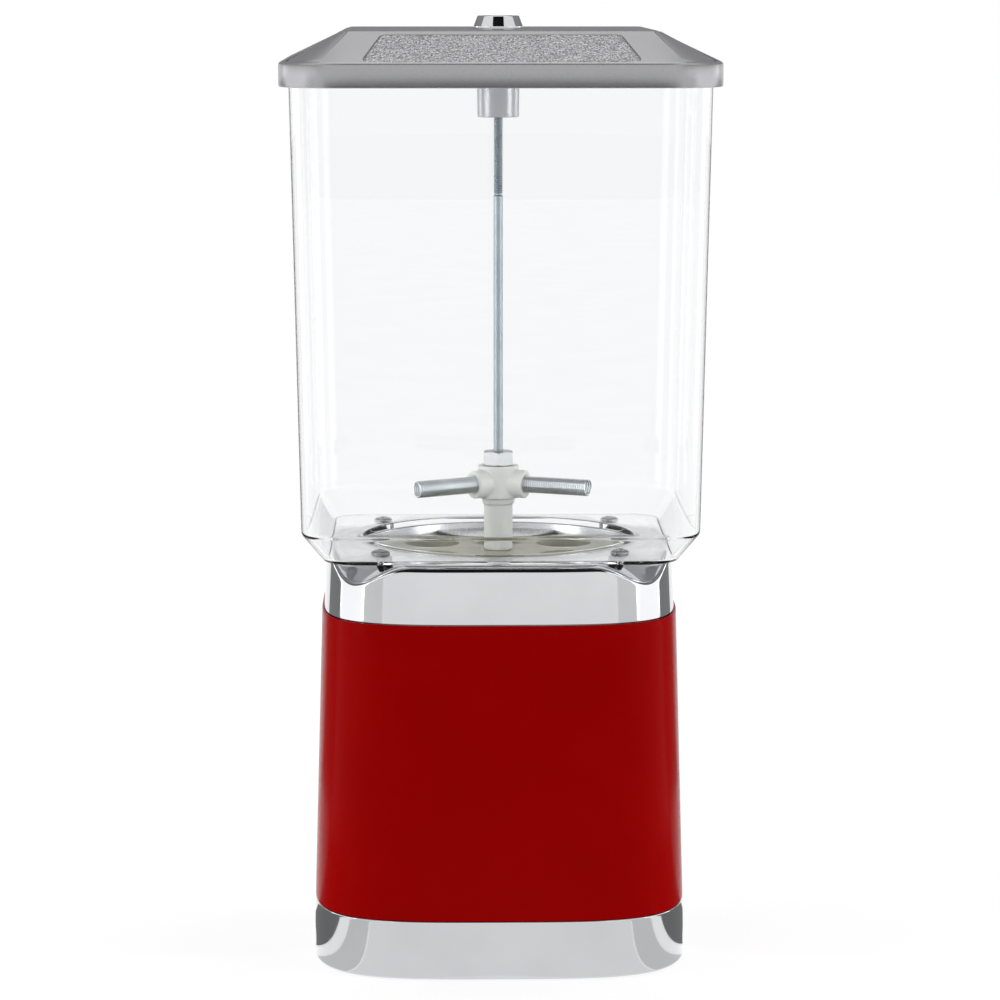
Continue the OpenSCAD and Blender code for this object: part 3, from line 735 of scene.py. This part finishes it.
def panel_half(v, grow=0.0):
    """Half width of the panel at a height, with round corners."""
    low_r, high_r = 6.0 + grow, 3.5 + grow
    low_v, high_v = PANEL_LOW_V - grow, PANEL_HIGH_V + grow
    t = (v - PANEL_LOW_V) / (PANEL_HIGH_V - PANEL_LOW_V)
    half = PANEL_LOW_HALF + (PANEL_HIGH_HALF - PANEL_LOW_HALF) * t + grow * 1.05
    if v < low_v + low_r:
        half -= low_r - math.sqrt(max(low_r ** 2 - (low_r - (v - low_v)) ** 2, 0))
    if v > high_v - high_r:
        half -= high_r - math.sqrt(max(high_r ** 2 - (high_r - (high_v - v)) ** 2, 0))
    return half


def panel_levels(grow):
    """Heights up the panel, closer together at its round corners."""
    steps = 14
    low_v, high_v = PANEL_LOW_V - grow, PANEL_HIGH_V + grow
    shares = [0.5 - 0.5 * math.cos(math.pi * i / steps) for i in range(steps + 1)]
    return [low_v + (high_v - low_v) * share for share in shares]


def panel_cutter():
    """Drafted block that sinks the panel into the slope."""
    layers = ((0.0, -PANEL_SINK), (0.35, -0.2), (1.2, 0.35), (1.2, 3))
    verts = []
    for grow, out in layers:
        levels = panel_levels(grow)
        right = [(panel_half(v, grow), v) for v in levels]
        left = [(-u, v) for u, v in reversed(right)]
        verts += [slope_point(u, v, out) for u, v in right + left]
    n = len(verts) // len(layers)
    faces = grid_faces(len(layers), n, False, True)
    faces.append(tuple(range(n)))
    faces.append(tuple(range(len(verts) - n, len(verts))))
    return link_mesh("panel_cutter", verts, faces)


def panel_skin(name, seed):
    """Hammered grain: a thin sheet with real relief that lies on the recess's floor."""
    columns, rows = 290, 68
    relief = 0.5
    pitch = 1.5
    fade = 0.8
    seed_step = 17.0
    top_out, under_out = 0.06 - PANEL_SINK, -0.25 - PANEL_SINK
    top, under = [], []
    for r in range(rows):
        v = PANEL_LOW_V + (PANEL_HIGH_V - PANEL_LOW_V) * (r + 0.35) / (rows - 0.3)
        half = panel_half(v) - 0.05
        for c in range(columns):
            u = half * (2 * c / (columns - 1) - 1)
            edge = max(0, min(1, half - abs(u), (v - PANEL_LOW_V) / fade, (PANEL_HIGH_V - v) / fade))
            spot = Vector((u, v, seed * seed_step)) / pitch
            bumpy = abs(noise.noise(spot)) * 1.7 + 0.35 * noise.noise(spot * 2.3)
            top.append(slope_point(u, v, top_out + relief * max(0, min(1, bumpy)) * edge))
            under.append(slope_point(u, v, under_out))
    verts = top + under
    faces = grid_faces(rows, columns, False, False)
    faces += [tuple(reversed(f)) for f in grid_faces(rows, columns, False, False, len(top))]
    n = len(top)
    edge_loop = list(range(columns)) + [r * columns + columns - 1 for r in range(1, rows)]
    edge_loop += [(rows - 1) * columns + c for c in reversed(range(columns - 1))]
    edge_loop += [r * columns for r in reversed(range(1, rows - 1))]
    for a, b in zip(edge_loop, edge_loop[1:] + edge_loop[:1]):
        faces.append((a, b, b + n, a + n))
    return link_mesh(name, verts, faces, 75)


def lid():
    """Casting with four recesses, their grained floors, and the boss that the lock sits in."""
    shell = lid_shell()
    cutters = []
    for side in range(4):
        cutter = panel_cutter()
        cutter.rotation_euler.z = side * math.pi / 2
        cutters.append(cutter)
    cut(shell, cutters)
    tidy_mesh(shell.data, 24)
    place(shell, "lid", "lid_silver", SILVER, "lid")
    for side in range(4):
        skin = panel_skin("lid_grain_%d" % (side + 1), side)
        skin.data.transform(Matrix.Rotation(side * math.pi / 2, 4, "Z"))
        place(skin, "lid", "lid_silver", GRAINED, "lid")
    boss_top = LID_TOP_Z - 2
    plug_bore = 9.7
    plug_floor_z = 604
    nut_bore = 6.7
    boss = lathe("lid_boss", fillet([
        (14, BOSS_LOW_Z), (14.7, boss_top), (plug_bore, boss_top), (plug_bore, plug_floor_z),
        (nut_bore, plug_floor_z), (nut_bore, BOSS_LOW_Z)],
        [0.8, 0, 0, 0.3, 0.3, 0.5]), 96)
    place(boss, "lid", "lid_silver", SILVER, "lid")


def lock():
    """Coned bezel, and the plug that turns in it, with its keyway."""
    base_z = low("lock_bezel").z
    top_z = high("lock_bezel").z
    bezel_r = 16.5
    bezel_bore = 9.7
    bezel = lathe("lock_bezel_turned", fillet([
        (bezel_r, base_z), (bezel_r, base_z + 0.8), (13.8, top_z), (bezel_bore, top_z),
        (bezel_bore, base_z)],
        [0, 0.4, 0.9, 0.5, 0]), 96)
    place(bezel, "lid", "chrome", CHROME, "lock_bezel")
    plug_low = low("lock_plug").z
    plug_top = high("lock_plug").z
    plug_r = 9.5
    face_z = plug_top - 0.7
    groove_z = plug_top - 1.1
    plug = lathe("lock_plug_turned", fillet([
        (0, plug_low), (plug_r, plug_low), (plug_r, plug_top - 0.4), (8.9, plug_top - 0.4),
        (7.6, groove_z), (4.6, groove_z), (4.4, face_z), (0, face_z)],
        [0, 0.3, 0.3, 0, 0.3, 0, 0.2, 0]), 64)
    key_low_z, key_high_z = plug_top - 12, plug_top + 1
    barrel_r = 2.5
    slot_cut = box_piece("key_slot", (-1.1, -3.9, key_low_z), (1.1, 3.9, key_high_z))
    barrel_cut = lathe("key_barrel", [(0, key_low_z), (barrel_r, key_low_z), (barrel_r, key_high_z),
                                      (0, key_high_z)], 24)
    cut(plug, [slot_cut, barrel_cut])
    tidy_mesh(plug.data)
    place(plug, "lock", "chrome", CHROME, "lock_plug")


# ---- rod, nuts and agitator ----

def thread_rows(core_r, crest_r, pitch, z0, z1):
    """Helical thread as rows of points: one row per step along the helix."""
    steps = 24
    verts = []
    turns = (z1 - z0) / pitch
    count = int(turns * steps)
    for i in range(count + 1):
        phi = TAU * i / steps
        z = z0 + pitch * i / steps
        fade = min(1, i / steps, (count - i) / steps)
        crest = core_r + (crest_r - core_r) * fade
        for r, dz in ((core_r, -0.5), (crest, -0.09), (crest, 0.09), (core_r, 0.5)):
            verts.append((r * math.cos(phi), r * math.sin(phi), z + dz * pitch))
    return verts, grid_faces(count + 1, 4, False, True), count + 1


def threaded(name, core_r, crest_r, pitch, z0, z1):
    """Thread of a rod, closed at both ends."""
    verts, faces, rows = thread_rows(core_r, crest_r, pitch, z0 + pitch, z1 - pitch)
    faces.append((0, 1, 2, 3))
    last = (rows - 1) * 4
    faces.append((last + 3, last + 2, last + 1, last))
    return link_mesh(name, verts, faces, 40)


def centre_rod():
    """Tie rod, with a true thread in its upper part."""
    core = ROD_R - 0.62
    plain = lathe("centre_rod_bar", fillet([
        (0, ROD_LOW_Z), (ROD_R, ROD_LOW_Z), (ROD_R, THREAD_Z), (core, THREAD_Z + 0.8),
        (core, ROD_TOP_Z - 0.8), (core - 0.8, ROD_TOP_Z), (0, ROD_TOP_Z)],
        [0, 0.5, 0, 0, 0, 0, 0]), 48)
    place(plain, "cabinet", "zinc_steel", ROD, "centre_rod")
    thread = threaded("centre_rod_thread", core - 0.05, ROD_R, ROD_PITCH, THREAD_Z, ROD_TOP_Z - 0.2)
    place(thread, "cabinet", "zinc_steel", ROD, "centre_rod")


def hex_nut(name, across, bore, z0, z1):
    """Nut with coned corners at both ends and a countersunk bore."""
    half = across / 2
    inner = half * 0.93
    chamfer = math.tan(math.radians(26))

    def loop(phi):
        fold = (phi + math.pi / 6) % (math.pi / 3) - math.pi / 6
        reach = half / math.cos(fold)
        drop = max(reach - half * 0.985, 0) * chamfer
        return [(bore, z0 + 0.7), (bore + 0.7, z0), (inner, z0), (reach, z0 + drop + 0.12),
                (reach, z1 - drop - 0.12), (inner, z1), (bore + 0.7, z1), (bore, z1 - 0.7)]

    return ring_piece(name, even_angles(144), loop, 20)


def name_of_spring(index):
    """CAD node of one agitator spring; the arms count from 0."""
    return "agitator_spring_%d" % (index + 1)


def spring_coil(name, index):
    """Close-coiled wire, hollow in the middle, on one agitator arm."""
    wire_r = 0.68
    coil_r = high(name_of_spring(index)).z - ARM_Z - wire_r
    pitch = 1.66
    sides, steps = 8, 22
    direction = math.radians(FIRST_ARM_DEG + 120 * index)
    along = Vector((math.cos(direction), math.sin(direction), 0))
    across = Vector((-along.y, along.x, 0))
    upwards = Vector((0, 0, 1))
    run = ARM_END - wire_r - ARM_START
    count = int(run / pitch * steps)
    verts = []
    for i in range(count + 1):
        phi = TAU * i / steps
        out = across * math.cos(phi) + upwards * math.sin(phi)
        centre = along * (ARM_START + run * i / count) + out * coil_r + Vector((0, 0, ARM_Z))
        for k in range(sides):
            t = TAU * k / sides
            verts.append(centre + (out * math.cos(t) + along * math.sin(t)) * wire_r)
    faces = grid_faces(count + 1, sides, False, True)
    faces.append(tuple(range(sides)))
    faces.append(tuple(reversed(range(count * sides, (count + 1) * sides))))
    return link_mesh(name, verts, faces, 60)


def agitator():
    """White hub, its three springs and the nut above it."""
    hub = moulded("agitator_hub_moulded", "agitator_hub", 0.55, 3)
    place(hub, "wheel", "white_plastic", WHITE, "agitator_hub")
    for i in range(3):
        coil = spring_coil("agitator_coil_%d" % (i + 1), i)
        place(coil, "wheel", "spring_steel", SPRING, name_of_spring(i))
    across = high("hub_nut").x * 2
    nut = hex_nut("hub_nut_chamfered", across, ROD_R, low("hub_nut").z, high("hub_nut").z)
    place(nut, "cabinet", "zinc_steel", NUT, "hub_nut")


def bowl():
    """Candy wheel, the bowl that it turns in and the shield over the outlet."""
    wheel = softened("candy_wheel_moulded", "candy_wheel", 0.8, 3)
    place(wheel, "wheel", "cream_plastic", CREAM, "candy_wheel")
    housing = softened("wheel_housing_cast", "wheel_housing", 0.5, 3)
    place(housing, "cabinet", "cast_grey", CAST, "wheel_housing")
    shield = softened("pocket_shield_pressed", "pocket_shield", 0.3, 3)
    place(shield, "cabinet", "plated_steel", STEEL, "pocket_shield")


def pan_screws():
    """Domed heads with a cross recess; the two nearest the plain side are given a darker steel than the
    two behind.
    """
    head_z = DECK_Z + 3
    head_r = 6.25
    shank_r = 1.9
    tip_z = head_z - 10
    bar_reach, bar_half = 3.1, 0.55
    bar_low_z, bar_high_z = head_z + 1.3, head_z + 5
    index = 0
    for x in (-1, 1):
        for y in (-1, 1):
            index += 1
            head = lathe("pan_screw_%d" % index, fillet([
                (0, tip_z), (1.2, tip_z), (shank_r, tip_z + 2), (shank_r, head_z), (head_r, head_z),
                (head_r, head_z + 0.7), (4.9, head_z + 1.9), (2.2, head_z + 2.5), (0, head_z + 2.55)],
                [0, 0, 0, 0, 0.25, 0.5, 0.9, 1, 0]), 48)
            turn = math.radians(20 + 31 * index)
            bars = [box_piece("bar", (-x_half, -y_half, bar_low_z), (x_half, y_half, bar_high_z))
                    for x_half, y_half in ((bar_reach, bar_half), (bar_half, bar_reach))]
            for bar in bars:
                bar.rotation_euler.z = turn
            cut(head, bars)
            tidy_mesh(head.data)
            head.data.transform(Matrix.Translation(Vector((x, y, 0)) * SCREW_SPREAD * MM))
            place(head, "cabinet", "dark_steel", DARK if y < 0 else DULL, "housing_screws")


# ---- coin side, drive and base ----

def rounded_parts():
    """CAD shapes that only need their hard edges rounded, by a width and a number of steps."""
    for node, made, width, steps, body, slot, material in (
            ("faceplate", "cast", 0.9, 3, "cabinet", "chrome", CHROME),
            ("coin_housing", "cast", 0.4, 3, "cabinet", "chrome", CHROME),
            ("coin_bezel", "cast", 0.5, 3, "cabinet", "chrome", CHROME),
            ("coin_handle", "cast", 1.4, 4, "handle", "chrome", CHROME),
            ("chute_door", "cast", 0.45, 3, "door", "chrome", CHROME),
            ("coin_carrier", "pressed", 0.25, 3, "handle", "plated_steel", STEEL),
            ("drive_pinion", "moulded", 0.3, 3, "handle", "gear_plastic", GEAR),
            ("idler_gear", "moulded", 0.3, 3, "idler", "gear_plastic", GEAR),
            ("face_gear", "moulded", 0.25, 2, "wheel", "gear_plastic", GEAR),
            ("chute", "pressed", 0.4, 3, "cabinet", "plated_steel", STEEL),
            ("gear_bracket", "pressed", 0.4, 3, "cabinet", "plated_steel", STEEL),
            ("coin_tray", "moulded", 0.5, 3, "cabinet", "grey_plastic", GREY),
            ("base_plate", "pressed", 0.4, 3, "cabinet", "plated_steel", STEEL),
            ("rubber_feet", "moulded", 0.4, 3, "cabinet", "rubber_black", RUBBER)):
        place(softened(node + "_" + made, node, width, steps), body, slot, material, node)


def carried_over():
    """CAD nodes whose shape is right as it is."""
    for node, material in (
            ("rod_nut", ZINC), ("rod_washer", ZINC), ("faceplate_screws", SCREW), ("bezel_screws", SCREW),
            ("bracket_screws", DARK), ("idler_pin", ZINC), ("door_pin", ZINC), ("lock_nut", BRASS),
            ("handle_shaft", ZINC), ("shaft_clip", DARK)):
        repaint(node, material)


# ---- studio ----

def aim_from(obj, place_at, aim_at):
    """Stands a camera, lamp or board at a place, in metres, and turns it towards another."""
    obj.location = place_at
    aim = Vector(aim_at) - Vector(place_at)
    obj.rotation_euler = aim.to_track_quat("-Z", "Y").to_euler()


def camera():
    """Long lens a little above and to the left of the plain side's middle."""
    stand_at = (-0.046, -2.648, 0.656)
    look_at = (0.0012, 0.0, 0.3026)
    data = bpy.data.cameras.new("camera")
    data.sensor_width = 36
    data.lens = 141.5
    data.clip_end = 50
    obj = bpy.data.objects.new("camera", data)
    aim_from(obj, stand_at, look_at)
    bpy.context.scene.collection.objects.link(obj)
    bpy.context.scene.camera = obj


def panel_light(name, place_at, width, height, radiance):
    """Softbox whose face has a given brightness."""
    data = bpy.data.lights.new(name, "AREA")
    data.shape = "RECTANGLE"
    data.size = width
    data.size_y = height
    data.energy = radiance * math.pi * width * height
    obj = bpy.data.objects.new(name, data)
    aim_from(obj, place_at, STUDIO_MIDDLE)
    bpy.context.scene.collection.objects.link(obj)


def out_of_picture(obj, seen_by_matt=False, through_clear=False):
    """Keeps a board out of the picture: either reflections see it, or matt surfaces do."""
    obj.visible_camera = False
    obj.visible_diffuse = seen_by_matt
    obj.visible_glossy = not seen_by_matt
    obj.visible_shadow = False
    obj.visible_transmission = through_clear


def board_material(name, shade, glow):
    """Matt card that is only as bright as its shade and its own glow."""
    material, tree, shader = new_material(name)
    vary_colour(tree, pattern(tree, 2, 2), shader.inputs["Base Color"], (shade * 0.97,) * 3, (shade,) * 3)
    shader.inputs["Roughness"].default_value = 1.0
    shader.inputs["Specular IOR Level"].default_value = 0.0
    shader.inputs["Emission Color"].default_value = (1, 1, 1, 1)
    shader.inputs["Emission Strength"].default_value = glow
    return material


def flag(name, place_at, width, height, shade, seen_by_matt=False):
    """Dark board, as a photographer's flag."""
    w, h = width / 2 / MM, height / 2 / MM
    obj = link_mesh(name, [(-w, -h, 0), (w, -h, 0), (w, h, 0), (-w, h, 0)], [(0, 1, 2, 3)])
    aim_from(obj, place_at, STUDIO_MIDDLE)
    obj.data.materials.append(board_material(name, shade, 0))
    out_of_picture(obj, seen_by_matt)


def arc_card(name, side, from_deg, to_deg, profile, glow, through_clear=False):
    """Curved card round one side of the object; angles turn away from the camera's side."""
    steps = 12
    verts = []
    for i in range(steps + 1):
        phi = math.radians(from_deg + (to_deg - from_deg) * i / steps)
        for r, z in profile:
            verts.append((side * r * math.sin(phi), -r * math.cos(phi), z))
    obj = link_mesh(name, verts, grid_faces(steps + 1, len(profile), False, False))
    obj.data.materials.append(board_material(name, 0, glow))
    out_of_picture(obj, through_clear=through_clear)


def reflection_cards():
    """What the chrome's corners mirror: grey, then white, then dark, with dark boards higher up.

    The foot of the cabinet mirrors the cards on the floor, the collar the standing ones. The scoops
    in its corners look up past the globe's foot, so their card is the one seen through the globe.
    Each card is given by the directions it spans and by (distance, height) points from foot to top.
    """
    far, near = 1250, 330
    on_floor = [(132, 2), (340, 2), (560, 2)]
    standing = [(600, 3), (1200, 3), (far, 50), (far, 480)]
    beside_lid = [(far, 485), (far, 660)]
    overhead = [(far, 670), (far, 1150)]
    ahead = [(near, 300), (near, 540)]
    behind = [(far, 640), (far, 1900)]
    above_scoops = [(1200, 960), (1200, 2300)]
    for side, word in ((-1, "left"), (1, "right")):
        arc_card("floor_front_" + word, side, 0, 43, on_floor, 0.90)
        arc_card("floor_grey_" + word, side, 44, 62, on_floor, 0.70)
        arc_card("floor_white_" + word, side, 63.5, 73, on_floor, 1.08)
        arc_card("floor_dark_" + word, side, 74.5, 116, on_floor, 0.18)
        arc_card("card_grey_" + word, side, 41, 65, standing, 0.80)
        arc_card("card_white_" + word, side, 68, 110, standing, 1.42)
        arc_card("card_dark_" + word, side, 113, 147, standing, 0.24)
        arc_card("card_ahead_" + word, side, 0, 34, ahead, 0.01)
        arc_card("card_rim_" + word, side, 38, 112, beside_lid, 1.5)
        arc_card("card_high_" + word, side, 34, 120, overhead, 0.16)
        arc_card("card_behind_" + word, side, 120, 180, behind, 0.24)
        arc_card("card_scoops_" + word, side, 95, 158, above_scoops, 0.30, through_clear=True)


def studio_floor():
    """Wide pale floor."""
    material, tree, shader = new_material("studio_floor")
    vary_colour(tree, pattern(tree, 8, 3), shader.inputs["Base Color"], (0.17,) * 3, (0.19,) * 3)
    shader.inputs["Emission Color"].default_value = (1, 1, 1, 1)
    shader.inputs["Emission Strength"].default_value = 0.82
    shader.inputs["Roughness"].default_value = 0.9
    shader.inputs["Specular IOR Level"].default_value = 0.1
    reach = 9000
    corners = [(-reach, -reach, 0), (reach, -reach, 0), (reach, reach, 0), (-reach, reach, 0)]
    floor = link_mesh("studio_floor", corners, [(0, 1, 2, 3)])
    floor.data.materials.append(material)


def studio():
    """White surroundings, a softbox at each corner, a dim one overhead, and the boards."""
    world = bpy.data.worlds.new("studio")
    world.use_nodes = True
    world.node_tree.nodes["Background"].inputs["Color"].default_value = (1, 1, 1, 1)
    world.node_tree.nodes["Background"].inputs["Strength"].default_value = 1.0
    bpy.context.scene.world = world
    bpy.context.scene.view_settings.view_transform = "Standard"
    studio_floor()

    for end, y, width, radiance in (("", -0.9, 0.9, 2.7), ("_back", 1.0, 0.7, 1.8)):
        for side, x in (("left", -2.0), ("right", 2.0)):
            panel_light("softbox_" + side + end, (x, y, 0.7), width, 1.9, radiance)
    panel_light("top_panel", (0, 0.4, 2.6), 1.6, 1.6, 0.5)
    flag("flag_above_front", (0, -1.9, 2.6), 2.4, 1.7, 0.01)
    flag("board_behind_camera", (0, -3.1, 1.0), 5.0, 3.0, 0.10, True)
    reflection_cards()


def build():
    """Every piece, from the foot up, then the studio."""
    base_trim()
    body_shell()
    top_collar()
    globe()
    lid()
    lock()
    centre_rod()
    agitator()
    bowl()
    pan_screws()
    rounded_parts()
    carried_over()
    camera()
    studio()


build()
